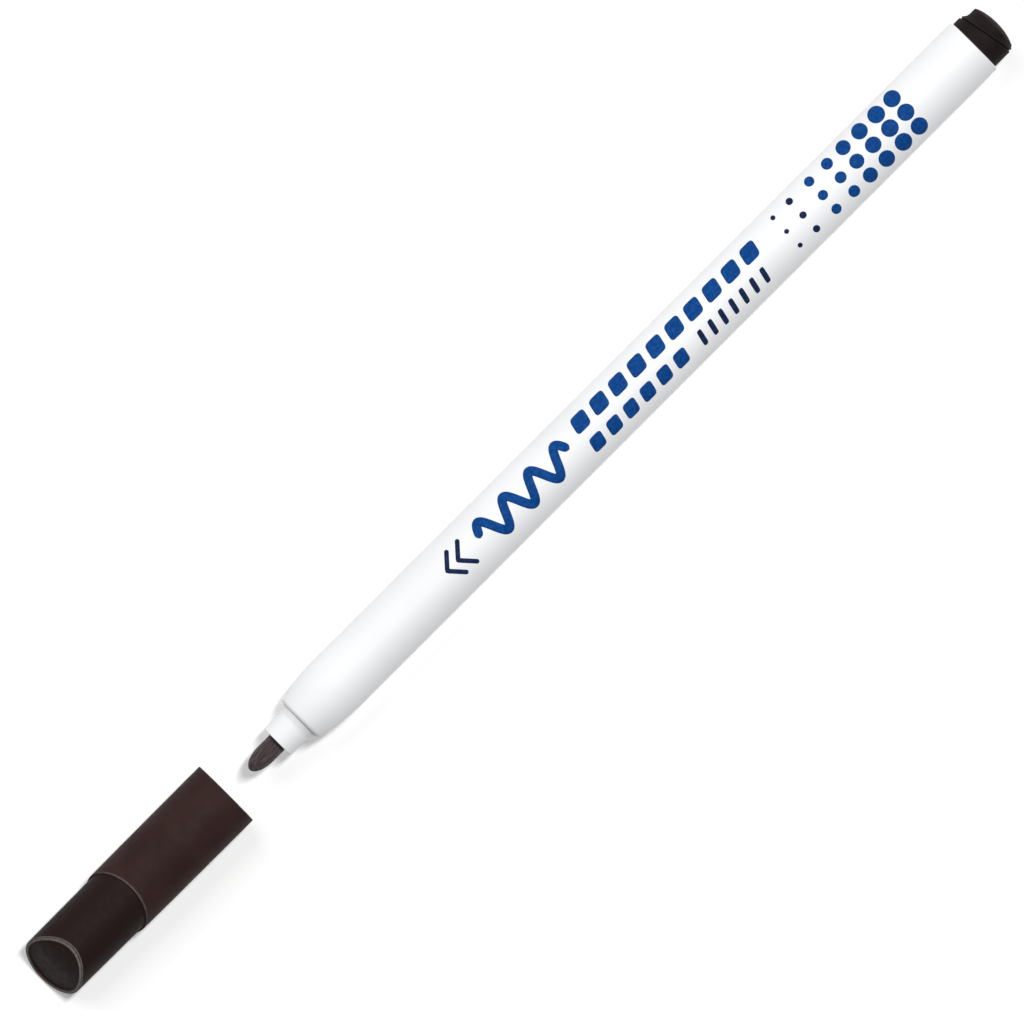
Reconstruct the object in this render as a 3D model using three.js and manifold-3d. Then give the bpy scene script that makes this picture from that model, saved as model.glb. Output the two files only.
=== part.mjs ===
// A slim whiteboard marker with its cap pulled off and lying in line with the nib.
//
// Millimetres. +X runs from the cap past the nib to the rear plug, +Z is up, and the
// origin is under the middle of the whole object, on the surface that it lies on.
// Every piece is round about one axis, so each is drawn as stations along that axis,
// counted from the tip of the nib toward the rear plug, and radii.

import * as THREE from 'three';
import { mergeVertices } from 'three/addons/utils/BufferGeometryUtils.js';
import Module from 'manifold-3d';

// Round pieces have this many sides, with one side facing straight down.
const FACETS = 24;

// Clearances between pieces that are pressed together and between those that slide.
const PRESSED = 0.05;
const RUNNING = 0.1;

// Barrel: a straight white tube with a rounded shoulder at the nib end.
const BARREL_RADIUS = 4.3;
const BARREL_WALL = 0.75;
const BARREL_FRONT = 9.36;
const BARREL_REAR = 134.8;
const SHOULDER_LENGTH = 6.8;
const SHOULDER_DROP = 0.92;
const SHOULDER_EDGE = 0.1;
const SHOULDER_THROAT = 2.85;
const RIM_ROUND = 0.25;

// Nib holder: its front is the neck, which stands out of the shoulder and ends in a
// small flange against it. Inside the barrel a cone leads to a collar that fills the bore.
const NECK_RADIUS = 2.5;
const NECK_FRONT = 5.17;
const NECK_EDGE = 0.2;
const NECK_FLARE_START = 8.2;
const NECK_FLARE_MIDDLE = 8.85;
const NECK_FLANGE_RADIUS = 3.1;
const HOLDER_REAR = 23.0;
const COLLAR_START = 18.0;
const COLLAR_CONE = 2.0;
const COLLAR_CONE_GAP = 0.4;
const HOLDER_HOLLOW_START = 14.0;
const HOLDER_WALL = 0.9;

// Nib: a bullet-pointed rod of bonded fibre.
const NIB_RADIUS = 1.4;
const NIB_POINT_LENGTH = 3.0;
const NIB_REAR = 32.0;
const NIB_END_GAP = 0.3;

// Reservoir: a rod of fibre in a film sleeve.
const FILM_THICKNESS = 0.15;
const RESERVOIR_FRONT = 23.4;
const RESERVOIR_REAR = 121.0;

// Rear plug: a hollow stem pressed into the barrel, a ring cut off obliquely, a lower
// step that follows the same slant, and a domed button.
const PLUG_RING_RADIUS = 3.93;
const PLUG_RING_MIDDLE = 137.07;
const PLUG_RING_SLANT = 0.73;
const PLUG_STEP_RADIUS = 3.62;
const PLUG_STEP_LENGTH = 0.4;
const PLUG_BUTTON_RADIUS = 3.36;
const PLUG_BUTTON_START = 135.5;
const PLUG_END = 139.05;
const PLUG_DOME = 0.75;
const PLUG_CROWN_RADIUS = 1.1;
const PLUG_STEM_FRONT = 122.0;
const PLUG_LEAD_IN = 0.3;
const PLUG_LEAD_IN_LENGTH = 1.0;
const PLUG_HOLLOW_END = 135.8;
const PLUG_WALL = 0.8;

// Cap: a wide part toward the mouth, a slanted step, a narrower part, and a slanted end
// face that curves back toward the top, set into a thin rim.
const CAP_MOUTH = -4.35;
const CAP_MOUTH_RADIUS = 5.0;
const CAP_MOUTH_EDGE = 0.2;
const CAP_MOUTH_FLARE = 0.1;
const CAP_MOUTH_FLARE_LENGTH = 0.4;
const CAP_STEP = -24.85;
const CAP_STEP_LEAN = 2.95;
const CAP_STEP_RADIUS = 4.92;
const CAP_NARROW_RADIUS = 4.67;
const CAP_END_RADIUS = 4.6;
const CAP_END = -36.67;
const CAP_END_LEAN = 2.24;
const CAP_END_BULGE = 1.6;
const CAP_END_RIM = 0.5;
const CAP_END_RECESS = 0.25;
const CAP_END_THICKNESS = 0.8;
const CAP_WALL = 0.7;
const CAP_BORE_STEP = -20.4;
const CAP_BORE_TAPER = 1.2;

// Seal: a cup inside the cap that closes on the neck when the cap is on.
const SEAL_CLOSED_END = -33.6;
const SEAL_MOUTH = -23.4;
const SEAL_LEAD_IN = 0.6;
const SEAL_WALL = 0.7;
const SEAL_FLOOR = 0.6;
const SEAL_NIB_ROOM = 0.35;
const SEAL_STEP = -29.6;
const SEAL_STEP_LENGTH = 1.2;
const SEAL_COLLAR = -31.6;
const SEAL_COLLAR_LENGTH = 1.6;

const OBJECT_FRONT = CAP_END - CAP_END_LEAN;
const OBJECT_MIDDLE = (OBJECT_FRONT + PLUG_END) / 2;
const BARREL_BORE = BARREL_RADIUS - BARREL_WALL;
const CAP_BORE = BARREL_RADIUS + RUNNING;
const NARROW_BORE = CAP_NARROW_RADIUS - CAP_WALL;
// How far the cutting solids reach past what they cut.
const BEYOND = 8;
const MARGIN = 1;

const wasm = await Module();
wasm.setup();

// A solid turned about the axis. The outline lists [station, radius] with the outside
// toward the rear and any bore back toward the front; its sides touch the stated radii.
function turned(outline) {
  const reach = 1 / Math.cos(Math.PI / FACETS);
  const points = outline.map(([station, radius]) => new THREE.Vector2(radius * reach, station));
  const onAxis = outline[0][1] === 0 && outline.at(-1)[1] === 0;
  if (!onAxis) points.push(points[0].clone());
  const geometry = new THREE.LatheGeometry(points, FACETS, Math.PI / FACETS);
  return geometry.rotateZ(-Math.PI / 2);
}

// A quarter-round edge from [station, radius] at angle 0 to the axis end at 90 degrees.
function roundedEdge(station, radius, length, depth, steps) {
  const points = [];
  for (let i = 0; i <= steps; i++) {
    const angle = (Math.PI / 2) * (i / steps);
    points.push([station + length * Math.sin(angle), radius - depth * (1 - Math.cos(angle))]);
  }
  return points;
}

function toSolid(geometry) {
  geometry.deleteAttribute('normal');
  geometry.deleteAttribute('uv');
  const merged = mergeVertices(geometry, 1e-4);
  const corners = Array.from(merged.index.array);
  const triangles = [];
  for (let i = 0; i < corners.length; i += 3) {
    const [a, b, c] = corners.slice(i, i + 3);
    if (a !== b && b !== c && c !== a) triangles.push(a, b, c);
  }
  return new wasm.Manifold(new wasm.Mesh({
    numProp: 3,
    vertProperties: new Float32Array(merged.attributes.position.array),
    triVerts: new Uint32Array(triangles),
  }));
}

function toGeometry(solid) {
  const mesh = solid.getMesh();
  const geometry = new THREE.BufferGeometry();
  geometry.setAttribute('position', new THREE.BufferAttribute(mesh.vertProperties, 3));
  geometry.setIndex(new THREE.BufferAttribute(mesh.triVerts, 1));
  geometry.computeVertexNormals();
  return geometry;
}

// Everything in front of a surface whose station changes with height, or, when
// across is true, with the sideways distance.
function inFrontOf(surface, across = false) {
  const steps = 20;
  const shape = new THREE.Shape();
  shape.moveTo(OBJECT_FRONT - BEYOND, -BEYOND);
  for (let i = 0; i <= steps; i++) {
    const offset = -BEYOND + (2 * BEYOND * i) / steps;
    shape.lineTo(surface(offset), offset);
  }
  shape.lineTo(OBJECT_FRONT - BEYOND, BEYOND);
  shape.closePath();
  const geometry = new THREE.ExtrudeGeometry(shape, { depth: 2 * BEYOND, bevelEnabled: false });
  geometry.translate(0, 0, -BEYOND);
  if (!across) geometry.rotateX(Math.PI / 2);
  return toSolid(geometry);
}

function barrel() {
  const shoulder = [];
  const steps = 7;
  for (let i = 0; i <= steps; i++) {
    const along = i / steps;
    const start = BARREL_FRONT + SHOULDER_EDGE;
    const station = start + along * (SHOULDER_LENGTH - SHOULDER_EDGE);
    shoulder.push([station, BARREL_RADIUS - SHOULDER_DROP * (1 - along) ** 2]);
  }
  return turned([
    [BARREL_FRONT, BARREL_RADIUS - SHOULDER_DROP - SHOULDER_EDGE],
    ...shoulder,
    ...roundedEdge(BARREL_REAR - RIM_ROUND, BARREL_RADIUS, RIM_ROUND, RIM_ROUND, 3),
    [BARREL_REAR, BARREL_BORE],
    [COLLAR_START - COLLAR_CONE_GAP, BARREL_BORE],
    [COLLAR_START - COLLAR_CONE_GAP - COLLAR_CONE, SHOULDER_THROAT],
    [BARREL_FRONT, SHOULDER_THROAT],
  ]);
}

function nibHolder() {
  const shank = SHOULDER_THROAT - PRESSED;
  const collar = BARREL_BORE - PRESSED;
  const bore = NIB_RADIUS + PRESSED;
  const hollow = collar - HOLDER_WALL;
  const flangeRear = BARREL_FRONT - PRESSED;
  return turned([
    [NECK_FRONT, NECK_RADIUS - NECK_EDGE],
    [NECK_FRONT + NECK_EDGE, NECK_RADIUS],
    [NECK_FLARE_START, NECK_RADIUS],
    [NECK_FLARE_MIDDLE, (2 * NECK_RADIUS + NECK_FLANGE_RADIUS) / 3],
    [flangeRear, NECK_FLANGE_RADIUS],
    [flangeRear, shank],
    [COLLAR_START - COLLAR_CONE, shank],
    [COLLAR_START, collar],
    [HOLDER_REAR, collar],
    [HOLDER_REAR, hollow],
    [COLLAR_START, hollow],
    [HOLDER_HOLLOW_START, bore],
    [NECK_FRONT, bore],
  ]);
}

function nib() {
  const point = [[0, 0]];
  const steps = 8;
  for (let i = 1; i <= steps; i++) {
    const angle = (Math.PI / 2) * (i / steps);
    point.push([NIB_POINT_LENGTH * (1 - Math.cos(angle)), NIB_RADIUS * Math.sin(angle)]);
  }
  return turned([...point, [NIB_REAR, NIB_RADIUS], [NIB_REAR, 0]]);
}

function inkReservoir() {
  const radius = BARREL_BORE - 2 * PRESSED - FILM_THICKNESS;
  const socket = NIB_RADIUS + PRESSED;
  return turned([
    [NIB_REAR + NIB_END_GAP, 0],
    [NIB_REAR + NIB_END_GAP, socket],
    [RESERVOIR_FRONT, socket],
    [RESERVOIR_FRONT, radius],
    [RESERVOIR_REAR, radius],
    [RESERVOIR_REAR, 0],
  ]);
}

function reservoirWrap() {
  const outside = BARREL_BORE - PRESSED;
  return turned([
    [RESERVOIR_FRONT, outside],
    [RESERVOIR_REAR, outside],
    [RESERVOIR_REAR, outside - FILM_THICKNESS],
    [RESERVOIR_FRONT, outside - FILM_THICKNESS],
  ]);
}

function rearPlug() {
  const stem = BARREL_BORE - PRESSED;
  const hollow = stem - PLUG_WALL;
  const seat = BARREL_REAR + PRESSED;
  const dome = roundedEdge(PLUG_END - PLUG_DOME, PLUG_BUTTON_RADIUS, PLUG_DOME,
    PLUG_BUTTON_RADIUS - PLUG_CROWN_RADIUS, 5);
  let body = toSolid(turned([
    [PLUG_HOLLOW_END, 0],
    [PLUG_HOLLOW_END, hollow],
    [PLUG_STEM_FRONT, hollow],
    [PLUG_STEM_FRONT, stem - PLUG_LEAD_IN],
    [PLUG_STEM_FRONT + PLUG_LEAD_IN_LENGTH, stem],
    [PLUG_BUTTON_START, stem],
    [PLUG_BUTTON_START, PLUG_BUTTON_RADIUS],
    ...dome,
    [PLUG_END, 0],
  ]));
  for (const [radius, length] of [[PLUG_RING_RADIUS, 0], [PLUG_STEP_RADIUS, PLUG_STEP_LENGTH]]) {
    const slanted = (side) => PLUG_RING_MIDDLE - (PLUG_RING_SLANT * side) / PLUG_RING_RADIUS + length;
    const ring = toSolid(turned([[seat, 0], [seat, radius], [PLUG_END, radius], [PLUG_END, 0]]));
    body = body.add(ring.intersect(inFrontOf(slanted, true)));
  }
  const inside = toSolid(turned([
    [PLUG_STEM_FRONT - MARGIN, 0],
    [PLUG_STEM_FRONT - MARGIN, hollow],
    [PLUG_HOLLOW_END, hollow],
    [PLUG_HOLLOW_END, 0],
  ]));
  return toGeometry(body.subtract(inside));
}

function capStepSurface(height) {
  return CAP_STEP + (CAP_STEP_LEAN * height) / CAP_STEP_RADIUS;
}

function capEndSurface(height) {
  const share = height / CAP_END_RADIUS;
  return CAP_END + CAP_END_LEAN * share + CAP_END_BULGE * Math.max(0, share) ** 2;
}

function capShell() {
  const wide = toSolid(turned([
    [CAP_STEP - BEYOND, 0],
    [CAP_STEP - BEYOND, CAP_STEP_RADIUS],
    [CAP_STEP, CAP_STEP_RADIUS],
    [CAP_MOUTH - CAP_MOUTH_EDGE, CAP_MOUTH_RADIUS],
    [CAP_MOUTH, CAP_MOUTH_RADIUS - CAP_MOUTH_EDGE],
    [CAP_MOUTH, 0],
  ]));
  const narrow = toSolid(turned([
    [OBJECT_FRONT - MARGIN, 0],
    [OBJECT_FRONT - MARGIN, CAP_END_RADIUS],
    [OBJECT_FRONT, CAP_END_RADIUS],
    [CAP_STEP, CAP_NARROW_RADIUS],
    [CAP_BORE_STEP, CAP_NARROW_RADIUS],
    [CAP_BORE_STEP, 0],
  ]));
  const recessRadius = CAP_END_RADIUS - CAP_END_RIM;
  const recess = toSolid(turned([
    [OBJECT_FRONT - MARGIN, 0],
    [OBJECT_FRONT - MARGIN, recessRadius],
    [CAP_STEP, recessRadius],
    [CAP_STEP, 0],
  ]));
  const bore = toSolid(turned([
    [OBJECT_FRONT, 0],
    [OBJECT_FRONT, NARROW_BORE],
    [CAP_BORE_STEP, NARROW_BORE],
    [CAP_BORE_STEP + CAP_BORE_TAPER, CAP_BORE],
    [CAP_MOUTH - CAP_MOUTH_FLARE_LENGTH, CAP_BORE],
    [CAP_MOUTH, CAP_BORE + CAP_MOUTH_FLARE],
    [CAP_MOUTH + MARGIN, CAP_BORE + CAP_MOUTH_FLARE],
    [CAP_MOUTH + MARGIN, 0],
  ]));
  const face = (depth) => inFrontOf((height) => capEndSurface(height) + depth);
  const outside = wide.subtract(inFrontOf(capStepSurface)).add(narrow).subtract(face(0));
  const dished = outside.subtract(recess.intersect(face(CAP_END_RECESS)));
  return toGeometry(dished.subtract(bore.subtract(face(CAP_END_RECESS + CAP_END_THICKNESS))));
}

function capInnerSeal() {
  const neckBore = NECK_RADIUS + RUNNING;
  const nibBore = NIB_RADIUS + SEAL_NIB_ROOM;
  const outside = neckBore + SEAL_WALL;
  const nibOutside = nibBore + SEAL_WALL;
  const collar = NARROW_BORE - PRESSED;
  const collarEnd = SEAL_COLLAR + SEAL_COLLAR_LENGTH;
  return turned([
    [SEAL_CLOSED_END, 0],
    [SEAL_CLOSED_END, nibOutside - SEAL_FLOOR],
    [SEAL_CLOSED_END + SEAL_FLOOR, nibOutside],
    [SEAL_COLLAR, nibOutside],
    [SEAL_COLLAR, collar],
    [collarEnd, collar],
    [collarEnd, outside],
    [SEAL_MOUTH, outside],
    [SEAL_MOUTH, neckBore + SEAL_WALL / 2],
    [SEAL_MOUTH - SEAL_LEAD_IN, neckBore],
    [SEAL_STEP + SEAL_STEP_LENGTH, neckBore],
    [SEAL_STEP, nibBore],
    [SEAL_CLOSED_END + SEAL_FLOOR, nibBore],
    [SEAL_CLOSED_END + SEAL_FLOOR, 0],
  ]);
}

const WHITE = { color: 0xf2f2f0, roughness: 0.35, metalness: 0 };
const BLACK = { color: 0x2b2223, roughness: 0.4, metalness: 0 };
const SEAL = { color: 0x332a2b, roughness: 0.5, metalness: 0 };
const INKED_FELT = { color: 0x473b3d, roughness: 0.95, metalness: 0 };
const INKED_FIBRE = { color: 0x2a2a34, roughness: 0.95, metalness: 0 };
const FILM = { color: 0xe8ebee, roughness: 0.25, metalness: 0 };

function piece(name, geometry, look) {
  const mesh = new THREE.Mesh(geometry, new THREE.MeshStandardMaterial(look));
  mesh.name = name;
  return mesh;
}

const pen = new THREE.Group();
pen.add(piece('barrel', barrel(), WHITE));
pen.add(piece('nib_holder', nibHolder(), WHITE));
pen.add(piece('nib', nib(), INKED_FELT));
pen.add(piece('ink_reservoir', inkReservoir(), INKED_FIBRE));
pen.add(piece('reservoir_wrap', reservoirWrap(), FILM));
pen.add(piece('rear_plug', rearPlug(), BLACK));

const cap = new THREE.Group();
cap.add(piece('cap_shell', capShell(), BLACK));
cap.add(piece('cap_inner_seal', capInnerSeal(), SEAL));

const marker = new THREE.Group();
marker.add(pen, cap);
marker.position.set(-OBJECT_MIDDLE, 0, CAP_MOUTH_RADIUS);

export default marker;
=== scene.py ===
import math

import bmesh
import bpy
from mathutils import Matrix, Vector


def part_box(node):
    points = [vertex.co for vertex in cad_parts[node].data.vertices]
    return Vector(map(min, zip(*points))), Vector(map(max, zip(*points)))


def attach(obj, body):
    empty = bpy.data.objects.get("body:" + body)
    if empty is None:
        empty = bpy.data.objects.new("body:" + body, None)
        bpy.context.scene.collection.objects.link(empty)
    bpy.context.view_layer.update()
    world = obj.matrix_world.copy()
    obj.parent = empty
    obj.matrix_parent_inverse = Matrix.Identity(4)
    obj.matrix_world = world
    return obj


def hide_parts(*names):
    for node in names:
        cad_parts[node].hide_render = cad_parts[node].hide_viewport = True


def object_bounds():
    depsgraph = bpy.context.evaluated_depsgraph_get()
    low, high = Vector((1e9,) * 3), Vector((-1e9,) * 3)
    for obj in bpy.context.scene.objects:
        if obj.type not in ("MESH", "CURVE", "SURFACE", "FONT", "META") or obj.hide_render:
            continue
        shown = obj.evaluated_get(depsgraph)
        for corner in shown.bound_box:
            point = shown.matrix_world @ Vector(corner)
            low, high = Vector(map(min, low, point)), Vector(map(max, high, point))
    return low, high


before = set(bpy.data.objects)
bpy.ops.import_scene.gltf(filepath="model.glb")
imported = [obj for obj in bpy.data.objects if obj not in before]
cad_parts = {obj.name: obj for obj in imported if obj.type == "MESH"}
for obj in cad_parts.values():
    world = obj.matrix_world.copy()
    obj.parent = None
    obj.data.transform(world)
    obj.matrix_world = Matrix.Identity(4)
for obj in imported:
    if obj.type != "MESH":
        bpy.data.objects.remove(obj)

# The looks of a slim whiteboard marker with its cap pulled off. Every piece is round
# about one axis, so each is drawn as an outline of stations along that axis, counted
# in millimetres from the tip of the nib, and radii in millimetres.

CAD_LOW, CAD_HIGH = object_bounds()
MM = 0.001
AXIS_HEIGHT = (CAD_LOW.z + CAD_HIGH.z) / 2
NIB_TIP_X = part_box("nib")[0].x

# Columns of points round the axis, and points in a rounded corner less one.
SIDES = 160
CORNER_STEPS = 4


def station(x):
    """Millimetres from the nib's tip of a place in the frame."""
    return (x - NIB_TIP_X) / MM


def radius_of(node):
    """The largest radius of a CAD node, in millimetres."""
    low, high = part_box(node)
    return (high.z - low.z) / 2 / MM


def ends_of(node):
    low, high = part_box(node)
    return station(low.x), station(high.x)


# Gaps on radius, between pressed pieces and between the cap and what it slides over.
PRESSED = 0.05
RUNNING = 0.1

BARREL_FRONT, BARREL_REAR = ends_of("barrel")
BARREL_RADIUS = radius_of("barrel")
BARREL_WALL = 0.75
BARREL_BORE = BARREL_RADIUS - BARREL_WALL
SHOULDER_LENGTH = 6.8
SHOULDER_DROP = 0.92
SHOULDER_THROAT = 2.85

NECK_FRONT, HOLDER_REAR = ends_of("nib_holder")
NECK_RADIUS = 2.5
NECK_FLARE = 8.2
NECK_FLANGE = 3.1
NECK_FLANGE_GAP = 0.005
COLLAR_START = 18.0
COLLAR_CONE = 2.0
COLLAR_CONE_GAP = 0.4
HOLDER_HOLLOW_START = 14.0
HOLDER_WALL = 0.9

NIB_REAR = ends_of("nib")[1]
NIB_RADIUS = radius_of("nib")
NIB_POINT = 3.0
NIB_END_GAP = 0.3

CORE_FRONT, CORE_REAR = ends_of("ink_reservoir")
CORE_RADIUS = radius_of("ink_reservoir")
CORE_FLUTES = 10
CORE_FLUTE_DEPTH = 0.1

FILM_FRONT, FILM_REAR = ends_of("reservoir_wrap")
FILM_RADIUS = radius_of("reservoir_wrap")
FILM_THICKNESS = 0.15

PLUG_FRONT, PLUG_END = ends_of("rear_plug")
PLUG_RADIUS = radius_of("rear_plug")
PLUG_STEM = BARREL_BORE - PRESSED
PLUG_WALL = 0.8
PLUG_LEAD_IN = 0.3
PLUG_LEAD_IN_LENGTH = 1.0
PLUG_HOLLOW_END = 135.8
PLUG_BUTTON = 3.36
PLUG_DOME = 0.75
PLUG_SLANT_MIDDLE = 136.77
PLUG_SLANT = 0.73
PLUG_GROOVE_WIDTH = 0.26
PLUG_GROOVE_DEPTH = 0.22
PLUG_GROOVE_LEAN = 0.02
PLUG_RAMP = 0.7

CAP_MOUTH = ends_of("cap_shell")[1]
CAP_RADIUS = radius_of("cap_shell")
CAP_SWELL = -19.0
CAP_SWELL_RADIUS = 4.965
CAP_STEP = -24.85
CAP_STEP_LEAN = 2.95
CAP_STEP_RADIUS = 4.92
CAP_NARROW_RADIUS = 4.67
CAP_WALL = 0.7
CAP_BORE = BARREL_RADIUS + RUNNING
CAP_NARROW_BORE = CAP_NARROW_RADIUS - CAP_WALL
CAP_BORE_STEP = -20.4
CAP_BORE_TAPER = 1.2
CAP_MOUTH_FLARE = 0.12
CAP_MOUTH_FLARE_LENGTH = 0.5

END_MIDDLE = -36.67
END_LEAN = 2.24
END_BULGE = 1.6
END_RADIUS = 4.6
END_RIM = 0.5
END_RECESS = 0.25
END_THICKNESS = 0.8

SEAL_CLOSED_END, SEAL_MOUTH = ends_of("cap_inner_seal")
SEAL_COLLAR_RADIUS = radius_of("cap_inner_seal")
SEAL_COLLAR = -31.6
SEAL_COLLAR_LENGTH = 1.6
SEAL_WALL = 0.7
SEAL_FLOOR = 0.6
SEAL_NIB_ROOM = 0.35
SEAL_STEP = -29.6
SEAL_STEP_LENGTH = 1.2
SEAL_LEAD_IN = 0.3
SEAL_LEAD_IN_LENGTH = 0.6


# ---------------------------------------------------------------- mesh building

def place(along, radius, angle):
    """A point in the frame. Angle 0 faces +Y and a quarter turn faces up."""
    return Vector((
        NIB_TIP_X + along * MM,
        radius * math.cos(angle) * MM,
        AXIS_HEIGHT + radius * math.sin(angle) * MM,
    ))


def rounded(corners):
    """Rounds an outline. A corner is a station, a radius, a cut and a painted light value: cut is how
    far back along both sides the rounding starts, and the last value paints a highlight along the edge,
    or below zero paints shade into it."""
    points = []
    last = len(corners) - 1
    for i, (s, r, cut, painted_light) in enumerate(corners):
        if cut == 0 or i in (0, last):
            points.append((s, r, painted_light))
            continue
        here = Vector((s, r))
        before = Vector(corners[i - 1][:2]) - here
        after = Vector(corners[i + 1][:2]) - here
        start = before.normalized() * min(cut, before.length * 0.45)
        end = after.normalized() * min(cut, after.length * 0.45)
        for k in range(CORNER_STEPS + 1):
            t = k / CORNER_STEPS
            p = here + start * (1 - t) ** 2 + end * t ** 2
            points.append((p.x, p.y, painted_light * math.sin(math.pi * t)))
    return points


def turned(name, outline):
    """A closed mesh turned about the axis. outline(angle) gives the corners at that
    angle, always the same number of them; the ends are on the axis, or they meet."""
    angles = [2 * math.pi * i / SIDES for i in range(SIDES)]
    columns = [rounded(outline(angle)) for angle in angles]
    count = len(columns[0])
    closes = columns[0][0][1] > 0
    verts, painted_lights, index = [], [], []
    for angle, column in zip(angles, columns):
        row = []
        for k, (s, r, painted_light) in enumerate(column):
            if r < 1e-6 and index:
                row.append(index[0][k])
                continue
            row.append(len(verts))
            verts.append(place(s, r, angle))
            painted_lights.append(painted_light)
        index.append(row)
    faces = []
    for i in range(SIDES):
        j = (i + 1) % SIDES
        for k in range(count if closes else count - 1):
            m = (k + 1) % count
            ring = [index[i][k], index[i][m], index[j][m], index[j][k]]
            face = [v for n, v in enumerate(ring) if v not in ring[:n]]
            if len(face) > 2:
                faces.append(face)
    return make_object(name, verts, faces, painted_lights)


def face_outward(mesh):
    """Turns every face of a closed mesh to point out."""
    shape = bmesh.new()
    shape.from_mesh(mesh)
    bmesh.ops.recalc_face_normals(shape, faces=shape.faces)
    shape.to_mesh(mesh)
    shape.free()


def make_object(name, verts, faces, painted_lights=None, closed=True):
    """The list after the faces holds, per point, the strength of a painted highlight, or below zero of
    painted shade. The faces of a closed mesh are turned out.
    """
    mesh = bpy.data.meshes.new(name)
    mesh.from_pydata(verts, [], faces)
    mesh.validate()
    if closed:
        face_outward(mesh)
    mesh.update()
    if painted_lights is not None:
        layer = mesh.attributes.new("painted_light", "FLOAT", "POINT")
        layer.data.foreach_set("value", painted_lights)
    mesh.polygons.foreach_set("use_smooth", [True] * len(mesh.polygons))
    obj = bpy.data.objects.new(name, mesh)
    bpy.context.scene.collection.objects.link(obj)
    return obj


def mark_narrow(obj, limit):
    """Marks every point nearer to the axis than limit, in metres."""
    layer = obj.data.attributes.new("narrow", "FLOAT", "POINT")
    reach = [math.hypot(v.co.y, v.co.z - AXIS_HEIGHT) for v in obj.data.vertices]
    layer.data.foreach_set("value", [float(r < limit) for r in reach])


def weight_normals(obj):
    """Keeps long straight walls from shading toward their small rounded edges."""
    modifier = obj.modifiers.new("weighted_normals", "WEIGHTED_NORMAL")
    modifier.mode = "FACE_AREA"
    modifier.weight = 80


def finish_piece(obj, body, node, material):
    obj.data.materials.append(material)
    weight_normals(obj)
    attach(obj, body)
    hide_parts(node)


# ---------------------------------------------------------------- materials

class Nodes:
    """Short calls for building one material's node tree."""

    def __init__(self, name):
        self.material = bpy.data.materials.new(name)
        self.material.use_nodes = True
        self.tree = self.material.node_tree
        self.shader = self.tree.nodes["Principled BSDF"]
        self.place = self.add("ShaderNodeTexCoord").outputs["Object"]

    def add(self, kind, **settings):
        node = self.tree.nodes.new(kind)
        for key, value in settings.items():
            setattr(node, key, value)
        return node

    def link(self, source, target):
        self.tree.links.new(source, target)

    def scaled(self, scale):
        node = self.add("ShaderNodeMapping")
        self.link(self.place, node.inputs["Vector"])
        node.inputs["Scale"].default_value = scale
        return node.outputs["Vector"]

    def noise(self, scale, detail=3.0, stretch=None):
        node = self.add("ShaderNodeTexNoise")
        node.inputs["Scale"].default_value = scale
        node.inputs["Detail"].default_value = detail
        self.link(self.scaled(stretch) if stretch else self.place, node.inputs["Vector"])
        return node.outputs["Fac"]

    def ramp(self, value, to_low=0.0, to_high=1.0, low=0.3, high=0.7):
        """Maps low to high onto the new range. Most of a noise lies in 0.3 to 0.7."""
        node = self.add("ShaderNodeMapRange", interpolation_type="SMOOTHSTEP")
        self.link(value, node.inputs["Value"])
        node.inputs["From Min"].default_value = low
        node.inputs["From Max"].default_value = high
        node.inputs["To Min"].default_value = to_low
        node.inputs["To Max"].default_value = to_high
        return node.outputs["Result"]

    def mix(self, share, first, second):
        node = self.add("ShaderNodeMix", data_type="RGBA")
        self.link(share, node.inputs["Factor"])
        for socket, colour in ((node.inputs["A"], first), (node.inputs["B"], second)):
            if isinstance(colour, tuple):
                socket.default_value = (*colour, 1.0)
            else:
                self.link(colour, socket)
        return node.outputs["Result"]

    def maths(self, operation, first, second):
        node = self.add("ShaderNodeMath", operation=operation)
        for socket, value in zip(node.inputs, (first, second)):
            if isinstance(value, (int, float)):
                socket.default_value = value
            else:
                self.link(value, socket)
        return node.outputs["Value"]

    def bump(self, height, distance, strength):
        node = self.add("ShaderNodeBump")
        node.inputs["Distance"].default_value = distance
        node.inputs["Strength"].default_value = strength
        self.link(height, node.inputs["Height"])
        self.link(node.outputs["Normal"], self.shader.inputs["Normal"])

    def attribute(self, name):
        return self.add("ShaderNodeAttribute", attribute_name=name).outputs["Fac"]

    def colour(self, source):
        self.link(source, self.shader.inputs["Base Color"])

    def roughness(self, noise, low, high):
        self.link(self.ramp(noise, low, high), self.shader.inputs["Roughness"])

    def constant(self, socket, value):
        self.shader.inputs[socket].default_value = value


def white_plastic():
    """Smooth moulded plastic with the faint lengthwise lines of an extruded tube."""
    n = Nodes("white_plastic")
    n.colour(n.mix(n.ramp(n.noise(60)), (0.845, 0.85, 0.865), (0.875, 0.88, 0.89)))
    n.roughness(n.noise(900, 4), 0.42, 0.52)
    n.bump(n.noise(1.0, stretch=(40, 900, 900)), 0.002 * MM, 0.3)
    n.constant("Specular IOR Level", 0.3)
    return n.material


# Colours of the painted highlight along edges and of the painted shade in grooves.
PAINTED_HIGHLIGHT = (0.20, 0.165, 0.155)
PAINTED_SHADE = (0.0015, 0.001, 0.001)


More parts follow.
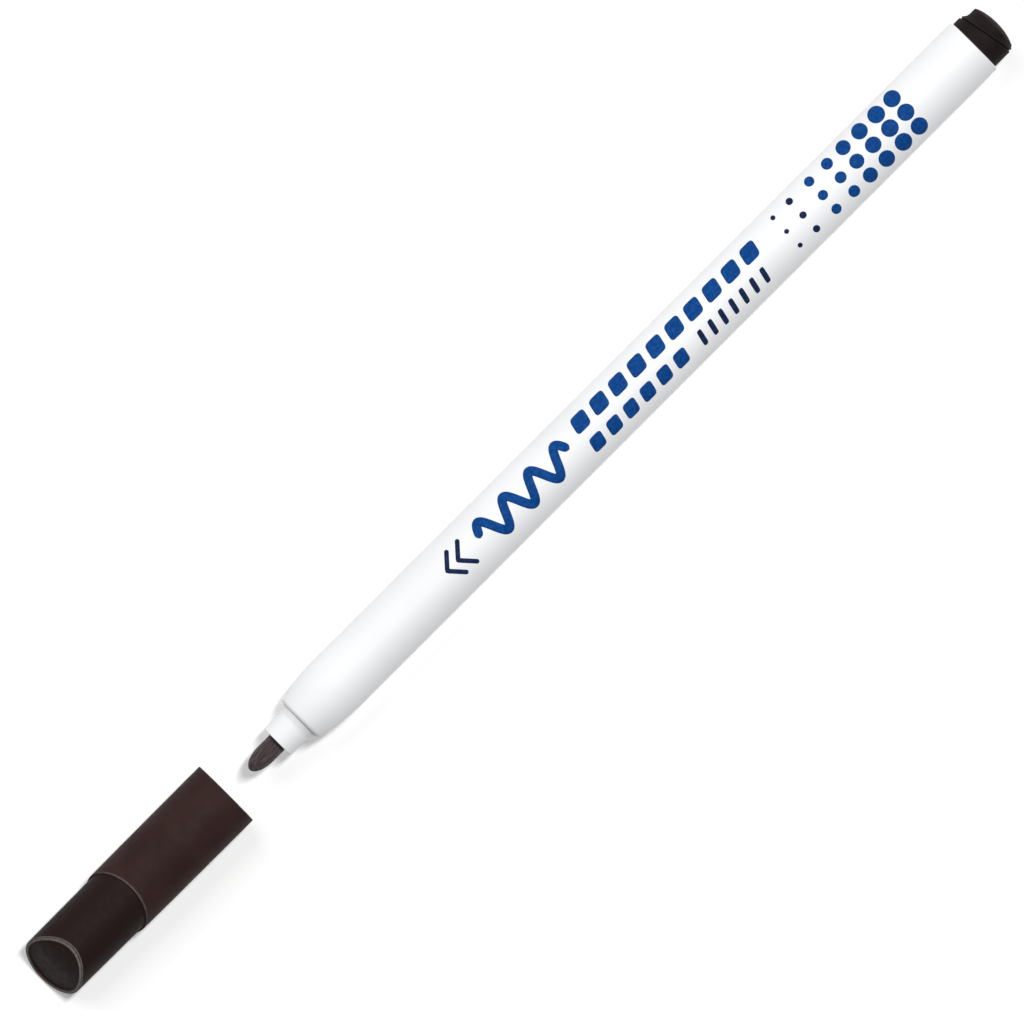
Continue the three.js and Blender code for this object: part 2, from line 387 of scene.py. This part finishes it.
def black_plastic(name, dark, light, roughness, grain, narrow=None):
    """Moulded black plastic, with a painted grey highlight along its edges and painted shade in its
    grooves. narrow is the colour of the narrow part of the cap."""
    n = Nodes(name)
    painted_light = n.attribute("painted_light")
    base = n.mix(n.ramp(n.noise(260, 5)), dark, light)
    if narrow:
        base = n.mix(n.attribute("narrow"), base, narrow)
    # A painted highlight along edges, broken into patches, and painted shade where the value is below
    # zero.
    patchy = n.ramp(n.noise(1500, 4), 0.55, 1.0, low=0.2, high=0.6)
    highlighted = n.mix(n.maths("MULTIPLY", painted_light, patchy), base, PAINTED_HIGHLIGHT)
    n.colour(n.mix(n.maths("MULTIPLY", painted_light, -1.0), highlighted, PAINTED_SHADE))
    n.roughness(n.noise(1200, 5), roughness - 0.05, roughness + 0.07)
    n.bump(n.noise(5200), 0.02 * MM, grain)
    n.constant("Specular IOR Level", 0.1)
    return n.material


def inked_felt(name, dark, light, stretch):
    """Fibres that run along the axis, soaked with ink."""
    n = Nodes(name)
    fibres = n.noise(1.0, 6, stretch)
    n.colour(n.mix(n.ramp(fibres), dark, light))
    n.roughness(n.noise(2500, 4), 0.75, 0.95)
    n.bump(fibres, 0.12 * MM, 0.8)
    n.constant("Specular IOR Level", 0.2)
    n.constant("Sheen Weight", 0.15)
    return n.material


def printed_ink(name, colour, thin):
    """Flat ink, paler where it lies thin."""
    n = Nodes(name)
    n.colour(n.mix(n.ramp(n.noise(2200, 5), low=0.35, high=0.75), colour, thin))
    n.roughness(n.noise(1500), 0.6, 0.75)
    n.constant("Specular IOR Level", 0.08)
    return n.material


def pale_film():
    """Glossy film with faint lengthwise creases."""
    n = Nodes("reservoir_film")
    n.colour(n.mix(n.ramp(n.noise(120)), (0.74, 0.76, 0.79), (0.82, 0.83, 0.85)))
    n.roughness(n.noise(700), 0.15, 0.28)
    n.bump(n.noise(1.0, stretch=(90, 900, 900)), 0.02 * MM, 0.6)
    return n.material


# ---------------------------------------------------------------- the pen

def barrel_outline(angle):
    """Starts and ends on the barrel's front face, where the two ends meet."""
    shoulder = []
    count = 14
    for i in range(1, count + 1):
        along = i / count
        rise = SHOULDER_DROP * (1 - along) ** 2
        shoulder.append((BARREL_FRONT + along * SHOULDER_LENGTH, BARREL_RADIUS - rise, 0, 0))
    cone_rear = COLLAR_START - COLLAR_CONE_GAP
    return [
        (BARREL_FRONT, BARREL_RADIUS - SHOULDER_DROP, 0.08, 0),
        *shoulder,
        (BARREL_REAR, BARREL_RADIUS, 0.25, 0),
        (BARREL_REAR, BARREL_BORE, 0.08, 0),
        (cone_rear, BARREL_BORE, 0.1, 0),
        (cone_rear - COLLAR_CONE, SHOULDER_THROAT, 0.1, 0),
        (BARREL_FRONT, SHOULDER_THROAT, 0.08, 0),
        (BARREL_FRONT, SHOULDER_THROAT + 0.3, 0, 0),
    ]


def holder_outline(angle):
    """The neck flares out to a flange that closes on the barrel's front face."""
    shank = SHOULDER_THROAT - PRESSED
    collar = BARREL_BORE - PRESSED
    hollow = collar - HOLDER_WALL
    bore = NIB_RADIUS + PRESSED
    flange = BARREL_FRONT - NECK_FLANGE_GAP
    count = 6
    flare = []
    for i in range(1, count + 1):
        share = i / count
        rise = (NECK_FLANGE - NECK_RADIUS) * share ** 1.4
        flare.append((NECK_FLARE + (flange - NECK_FLARE) * share, NECK_RADIUS + rise, 0, 0))
    return [
        (NECK_FRONT, 2.0, 0, 0),
        (NECK_FRONT, NECK_RADIUS - 0.08, 0.14, 0),
        (NECK_FLARE, NECK_RADIUS, 0, 0),
        *flare,
        (flange, shank, 0, 0),
        (COLLAR_START - COLLAR_CONE, shank, 0.1, 0),
        (COLLAR_START, collar, 0.1, 0),
        (HOLDER_REAR, collar, 0.1, 0),
        (HOLDER_REAR, hollow, 0.1, 0),
        (COLLAR_START, hollow, 0.1, 0),
        (HOLDER_HOLLOW_START, bore, 0.1, 0),
        (NECK_FRONT, bore, 0.08, 0),
    ]


def nib_outline(angle):
    count = 16
    point = []
    for i in range(count + 1):
        turn = math.pi / 2 * i / count
        point.append((NIB_POINT * (1 - math.cos(turn)), NIB_RADIUS * math.sin(turn), 0, 0))
    return [*point, (NIB_REAR, NIB_RADIUS, 0.15, 0), (NIB_REAR, 0, 0, 0)]


def plug_outline(angle):
    """A stem, a ring cut off obliquely, a fine groove, a ramp and a domed button."""
    seat = BARREL_REAR + PRESSED
    slant = PLUG_SLANT_MIDDLE - PLUG_SLANT * math.cos(angle)
    lip = slant + PLUG_GROOVE_WIDTH
    groove = PLUG_RADIUS - PLUG_GROOVE_DEPTH
    dome_start = PLUG_END - PLUG_DOME
    count = 9
    dome = []
    for i in range(count, 0, -1):
        turn = math.pi / 2 * i / (count + 1)
        along = dome_start + PLUG_DOME * math.cos(turn) ** 1.5
        dome.append((along, PLUG_BUTTON * math.sin(turn), 0, 0))
    return [
        (PLUG_HOLLOW_END, 0, 0, 0),
        (PLUG_HOLLOW_END, PLUG_STEM - PLUG_WALL, 0.3, 0),
        (PLUG_FRONT, PLUG_STEM - PLUG_WALL, 0.1, 0),
        (PLUG_FRONT, PLUG_STEM - PLUG_LEAD_IN, 0.1, 0),
        (PLUG_FRONT + PLUG_LEAD_IN_LENGTH, PLUG_STEM, 0.2, 0),
        (seat, PLUG_STEM, 0.05, 0),
        # A faint painted highlight along the ring's edges, and painted shade down in the groove.
        (seat, PLUG_RADIUS, 0.12, 0.1),
        (slant, PLUG_RADIUS, 0.06, 0.1),
        (slant + PLUG_GROOVE_LEAN, groove, 0, -1),
        (lip - PLUG_GROOVE_LEAN, groove, 0, -1),
        (lip, PLUG_RADIUS - 0.03, 0.12, 0.1),
        (lip + PLUG_RAMP, PLUG_BUTTON, 0.3, 0),
        (dome_start, PLUG_BUTTON, 0.3, 0),
        *dome,
        (PLUG_END, 0, 0, 0),
    ]


def core_outline(angle):
    radius = CORE_RADIUS - CORE_FLUTE_DEPTH * (1 + math.cos(angle * CORE_FLUTES)) / 2
    socket = NIB_RADIUS + PRESSED
    return [
        (NIB_REAR + NIB_END_GAP, 0, 0, 0),
        (NIB_REAR + NIB_END_GAP, socket, 0.1, 0),
        (CORE_FRONT, socket, 0.1, 0),
        (CORE_FRONT, radius, 0.2, 0),
        (CORE_REAR, radius, 0.2, 0),
        (CORE_REAR, 0, 0, 0),
    ]


def film_outline(angle):
    return [
        (FILM_FRONT, FILM_RADIUS, 0.03, 0),
        (FILM_REAR, FILM_RADIUS, 0.03, 0),
        (FILM_REAR, FILM_RADIUS - FILM_THICKNESS, 0.03, 0),
        (FILM_FRONT, FILM_RADIUS - FILM_THICKNESS, 0.03, 0),
    ]


# ---------------------------------------------------------------- the cap

def end_surface(height):
    """Station of the cap's slanted end at a height above the axis. Above the axis the
    end curves away toward the mouth."""
    share = height / END_RADIUS
    return END_MIDDLE + END_LEAN * share + END_BULGE * max(0.0, share) ** 2


def step_surface(height):
    """Station of the slanted step in the cap's outside at a height above the axis."""
    return CAP_STEP + CAP_STEP_LEAN * height / CAP_STEP_RADIUS


def cap_outline(angle):
    up = math.sin(angle)
    rim_inside = END_RADIUS - END_RIM
    # glint is the strength of the painted highlight on the end's rim, stronger on the top side where
    # the light falls.
    glint = 0.75 + 0.25 * up
    count = 8

    def on_end(radius, depth, cut=0, painted_light=0):
        return end_surface(radius * up) + depth, radius, cut, painted_light

    inner_depth = END_RECESS + END_THICKNESS
    recess = [on_end(rim_inside * k / count, END_RECESS) for k in range(count)]
    inside = [on_end(CAP_NARROW_BORE * k / count, inner_depth) for k in reversed(range(count))]
    return [
        *recess,
        on_end(rim_inside, END_RECESS, 0.16),
        # The rim of the end carries a painted highlight all the way across.
        on_end(rim_inside, 0, 0.08, 0.8 * glint),
        on_end(rim_inside + 0.1, 0, 0, glint),
        on_end(END_RADIUS - 0.18, 0, 0, glint),
        on_end(END_RADIUS, 0, 0.16, 0.9 * glint),
        (step_surface(CAP_NARROW_RADIUS * up), CAP_NARROW_RADIUS, 0.05, 0),
        # A painted highlight line along the step's edge, on its upper half only.
        (step_surface(CAP_STEP_RADIUS * up), CAP_STEP_RADIUS, 0.3, 0.55 * max(0.0, up)),
        (CAP_SWELL, CAP_SWELL_RADIUS, 0, 0),
        (CAP_MOUTH, CAP_RADIUS, 0.16, 0),
        (CAP_MOUTH, CAP_BORE + CAP_MOUTH_FLARE, 0.1, 0),
        (CAP_MOUTH - CAP_MOUTH_FLARE_LENGTH, CAP_BORE, 0.1, 0),
        (CAP_BORE_STEP + CAP_BORE_TAPER, CAP_BORE, 0.2, 0),
        (CAP_BORE_STEP, CAP_NARROW_BORE, 0.2, 0),
        on_end(CAP_NARROW_BORE, inner_depth, 0.2),
        *inside,
    ]


def seal_outline(angle):
    neck_bore = NECK_RADIUS + RUNNING
    nib_bore = NIB_RADIUS + SEAL_NIB_ROOM
    collar_end = SEAL_COLLAR + SEAL_COLLAR_LENGTH
    floor = SEAL_CLOSED_END + SEAL_FLOOR
    return [
        (SEAL_CLOSED_END, 0, 0, 0),
        (SEAL_CLOSED_END, nib_bore + SEAL_WALL, 0.5, 0),
        (SEAL_COLLAR, nib_bore + SEAL_WALL, 0.1, 0),
        (SEAL_COLLAR, SEAL_COLLAR_RADIUS, 0.15, 0),
        (collar_end, SEAL_COLLAR_RADIUS, 0.15, 0),
        (collar_end, neck_bore + SEAL_WALL, 0.1, 0),
        (SEAL_MOUTH, neck_bore + SEAL_WALL, 0.15, 0),
        (SEAL_MOUTH, neck_bore + SEAL_LEAD_IN, 0.1, 0),
        (SEAL_MOUTH - SEAL_LEAD_IN_LENGTH, neck_bore, 0.2, 0),
        (SEAL_STEP + SEAL_STEP_LENGTH, neck_bore, 0.3, 0),
        (SEAL_STEP, nib_bore, 0.3, 0),
        (floor, nib_bore, 0.3, 0),
        (floor, 0, 0, 0),
    ]


# ---------------------------------------------------------------- the print

INK_HEIGHT = 0.02


def on_barrel(along, side, lift):
    """The place on the barrel straight below a spot of the flat artwork."""
    radius = BARREL_RADIUS + lift
    side = max(-radius, min(radius, side))
    return Vector((
        NIB_TIP_X + along * MM,
        side * MM,
        AXIS_HEIGHT + math.sqrt(radius ** 2 - side ** 2) * MM,
    ))


class Artwork:
    """Ink patches that are gathered into one mesh."""

    def __init__(self):
        self.verts, self.faces = [], []

    def patch(self, grid, wraps):
        """A closed patch from a grid of (along, side) rows. wraps joins the columns
        into rings, and the first ring is filled."""
        rows, columns = len(grid), len(grid[0])
        base = len(self.verts)
        for lift in (INK_HEIGHT, -INK_HEIGHT):
            for row in grid:
                self.verts += [on_barrel(x, y, lift) for x, y in row]

        def at(layer, i, j):
            return base + (layer * rows + i) * columns + j % columns

        spans = columns if wraps else columns - 1
        for i in range(rows - 1):
            for j in range(spans):
                for layer in (0, 1):
                    self.faces.append([at(layer, i, j), at(layer, i + 1, j),
                                       at(layer, i + 1, j + 1), at(layer, i, j + 1)])

        def edge_wall(i, j, to_i, to_j):
            self.faces.append([at(0, i, j), at(0, to_i, to_j), at(1, to_i, to_j), at(1, i, j)])

        for j in range(spans):
            edge_wall(rows - 1, j, rows - 1, j + 1)
        if wraps:
            for layer in (0, 1):
                self.faces.append([at(layer, 0, j) for j in range(columns)])
            return
        for j in range(spans):
            edge_wall(0, j, 0, j + 1)
        for i in range(rows - 1):
            edge_wall(i, 0, i + 1, 0)
            edge_wall(i, columns - 1, i + 1, columns - 1)

    def spot(self, along, side, half_length, half_height, power=2.0, slant=0.0):
        """A round dot, or with a higher power a block with rounded corners."""
        rings, around = 6, 40
        grid = []
        for i in range(rings + 1):
            share = (i + 1) / (rings + 1)
            row = []
            for j in range(around):
                turn = 2 * math.pi * j / around
                c, s = math.cos(turn), math.sin(turn)
                reach = share / (abs(c) ** power + abs(s) ** power) ** (1 / power)
                y = half_height * reach * s
                row.append((along + half_length * reach * c + slant * y, side + y))
            grid.append(row)
        self.patch(grid, True)

    def stroke(self, path, width, count):
        """A line of ink with round ends along path(t), t from 0 to 1."""
        across, measured = 6, 50
        samples = [Vector(path(i / measured)) for i in range(measured + 1)]
        length = sum((b - a).length for a, b in zip(samples, samples[1:]))
        nudge, thinnest = 0.002, 0.02
        grid = []
        for i in range(count + 1):
            t = i / count
            here = Vector(path(t))
            ahead = (Vector(path(min(1, t + nudge))) - Vector(path(max(0, t - nudge)))).normalized()
            normal = Vector((-ahead.y, ahead.x))
            from_end = min(t, 1 - t) * length / (width / 2)
            full = math.sqrt(1 - (1 - min(1, from_end)) ** 2)
            half = max(thinnest, full) * width / 2
            grid.append([tuple(here + normal * half * (2 * k / across - 1)) for k in range(across + 1)])
        self.patch(grid, False)

    def build(self, name, material):
        obj = make_object(name, self.verts, self.faces)
        obj.data.materials.append(material)
        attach(obj, "pen")


def print_dots(blue, navy):
    """Three rows of dots that grow toward the rear plug, the smallest ones in navy."""
    columns = ((100.0, 0.68), (103.05, 1.0), (106.75, 1.4), (110.05, 1.62),
               (113.05, 2.05), (116.1, 2.25), (119.2, 2.4), (122.15, 2.35))
    navy_columns = 2
    flatness = 0.95
    for column, (along, across) in enumerate(columns):
        ink = navy if column < navy_columns else blue
        for side in (2.68, 0.14, -2.4):
            ink.spot(along, side, across / 2, across / 2 * flatness)


def print_blocks(blue, navy):
    """Rows of plain slanted blocks, each row as its ink, count, start, pitch, side,
    half length and half height."""
    power, slant = 5, 0.22
    rows = ((blue, 10, 61.4, 3.49, 1.62, 1.25, 1.15),
            (blue, 6, 61.4, 3.1, -1.85, 1.05, 1.0),
            (navy, 7, 81.4, 1.93, -1.9, 0.38, 1.05))
    for ink, count, start, pitch, side, half_length, half_height in rows:
        for k in range(count):
            ink.spot(start + pitch * (k + 0.5), side, half_length, half_height, power, slant)


def print_wave(blue, navy):
    """A brush-like wave and two chevrons that point to the nib."""
    wave_start, wave_length, wave_side = 43.0, 16.6, 0.05
    wave_height, wave_turns, wave_width = 1.75, 3.5, 1.25

    def wave(t):
        side = wave_side + wave_height * math.sin(2 * math.pi * wave_turns * t)
        return wave_start + wave_length * t, side

    blue.stroke(wave, wave_width, 160)
    chevron_side, chevron_length, chevron_height, chevron_width = 0.1, 1.9, 2.1, 0.62
    for start in (36.9, 38.9):
        def chevron(t, start=start):
            sweep = 2 * t - 1
            return start + chevron_length * abs(sweep), chevron_side + chevron_height * sweep
        navy.stroke(chevron, chevron_width, 40)


# ---------------------------------------------------------------- build everything

def build_pieces():
    white = white_plastic()
    cap_black = black_plastic("black_plastic", dark=(0.0265, 0.0125, 0.0112),
                              light=(0.0345, 0.0168, 0.0152), roughness=0.62, grain=0.5,
                              narrow=(0.0164, 0.0080, 0.0073))
    plug_black = black_plastic("plug_plastic", dark=(0.010, 0.0062, 0.0062),
                               light=(0.015, 0.0088, 0.0088), roughness=0.68, grain=0.4)
    seal_black = black_plastic("seal_plastic", dark=(0.020, 0.014, 0.014),
                               light=(0.030, 0.022, 0.022), roughness=0.5, grain=0.3)
    felt = inked_felt("nib_fibre", dark=(0.03, 0.02, 0.022), light=(0.085, 0.062, 0.066),
                      stretch=(500, 2600, 2600))
    core = inked_felt("reservoir_fibre", dark=(0.012, 0.012, 0.02), light=(0.03, 0.03, 0.045),
                      stretch=(120, 2600, 2600))
    parts = (
        ("barrel_tube", barrel_outline, "pen", "barrel", "barrel_plastic", white),
        ("neck_and_holder", holder_outline, "pen", "nib_holder", "barrel_plastic", white),
        ("felt_nib", nib_outline, "pen", "nib", "nib_fibre", felt),
        ("plug_moulding", plug_outline, "pen", "rear_plug", "cap_plastic", plug_black),
        ("fibre_core", core_outline, "pen", "ink_reservoir", "reservoir_fibre", core),
        ("film_sleeve", film_outline, "pen", "reservoir_wrap", "reservoir_film", pale_film()),
        ("cap_moulding", cap_outline, "cap", "cap_shell", "cap_plastic", cap_black),
        ("seal_cup", seal_outline, "cap", "cap_inner_seal", "seal_plastic", seal_black),
    )
    for name, outline, body, node, slot, material in parts:
        finish_piece(turned(name, outline), body, node, material)
    step_middle = (CAP_NARROW_RADIUS + CAP_STEP_RADIUS) / 2
    mark_narrow(bpy.data.objects["cap_moulding"], step_middle * MM)


def build_print():
    blue, navy = Artwork(), Artwork()
    print_dots(blue, navy)
    print_blocks(blue, navy)
    print_wave(blue, navy)
    blue_ink = printed_ink("print_blue", colour=(0.002, 0.045, 0.20), thin=(0.005, 0.075, 0.30))
    navy_ink = printed_ink("print_navy", colour=(0.006, 0.014, 0.055), thin=(0.012, 0.03, 0.10))
    blue.build("barrel_print_blue", blue_ink)
    navy.build("barrel_print_navy", navy_ink)


# ---------------------------------------------------------------- floor, light, camera

FLOOR_HALF = 3.0
LENS = 1000.0
SENSOR = 36.0
FRAME_WIDTH = 134.74 * MM
AIM_X, AIM_Y = -1.02 * MM, 0.23 * MM


def build_floor():
    """A pale sheet that glows a little, so that it stays near white all over."""
    half = FLOOR_HALF
    corners = [(-half, -half, 0), (half, -half, 0), (half, half, 0), (-half, half, 0)]
    floor = make_object("floor", corners, [[0, 1, 2, 3]], closed=False)
    n = Nodes("floor_paper")
    n.colour(n.mix(n.ramp(n.noise(40)), (0.71, 0.71, 0.71), (0.73, 0.73, 0.725)))
    n.constant("Emission Color", (1.0, 1.0, 1.0, 1.0))
    n.constant("Emission Strength", 0.30)
    n.constant("Roughness", 0.9)
    n.constant("Specular IOR Level", 0.1)
    floor.data.materials.append(n.material)


def area_light(name, direction, width, depth, energy, distance):
    """A soft lamp that looks at the middle of the object, width along X."""
    away = Vector(direction).normalized()
    along = (Vector((1, 0, 0)) - away * away.x).normalized()
    data = bpy.data.lights.new(name, "AREA")
    data.shape = "RECTANGLE"
    data.size = width
    data.size_y = depth
    data.energy = energy
    lamp = bpy.data.objects.new(name, data)
    lamp.location = Vector((0, 0, AXIS_HEIGHT)) + away * distance
    lamp.rotation_mode = "QUATERNION"
    lamp.rotation_quaternion = Matrix((along, away.cross(along), away)).transposed().to_quaternion()
    lamp.visible_camera = False
    bpy.context.scene.collection.objects.link(lamp)


def build_light():
    """A lamp overhead that leans to the rear of the pen, and a wide weak one beside it."""
    world = bpy.data.worlds.new("studio")
    world.use_nodes = True
    background = world.node_tree.nodes["Background"]
    background.inputs["Color"].default_value = (0.97, 0.985, 1.0, 1.0)
    background.inputs["Strength"].default_value = 0.06
    bpy.context.scene.world = world
    area_light("overhead", direction=(0.33, 0.0, 0.944), width=0.70, depth=0.25,
               energy=46.0, distance=2.4)
    area_light("side", direction=(0.0, 0.60, 0.80), width=0.9, depth=0.7,
               energy=5.8, distance=1.2)
    bpy.context.scene.view_settings.view_transform = "Standard"


def build_camera():
    """Looks straight down, with the marker's axis rising to the right at 45 degrees."""
    data = bpy.data.cameras.new("camera")
    data.lens = LENS
    data.sensor_width = SENSOR
    distance = LENS / SENSOR * FRAME_WIDTH
    camera = bpy.data.objects.new("camera", data)
    camera.location = (AIM_X, AIM_Y, AXIS_HEIGHT + distance)
    camera.rotation_euler = (0, 0, -math.pi / 4)
    bpy.context.scene.collection.objects.link(camera)
    bpy.context.scene.camera = camera


build_pieces()
build_print()
build_floor()
build_light()
build_camera()
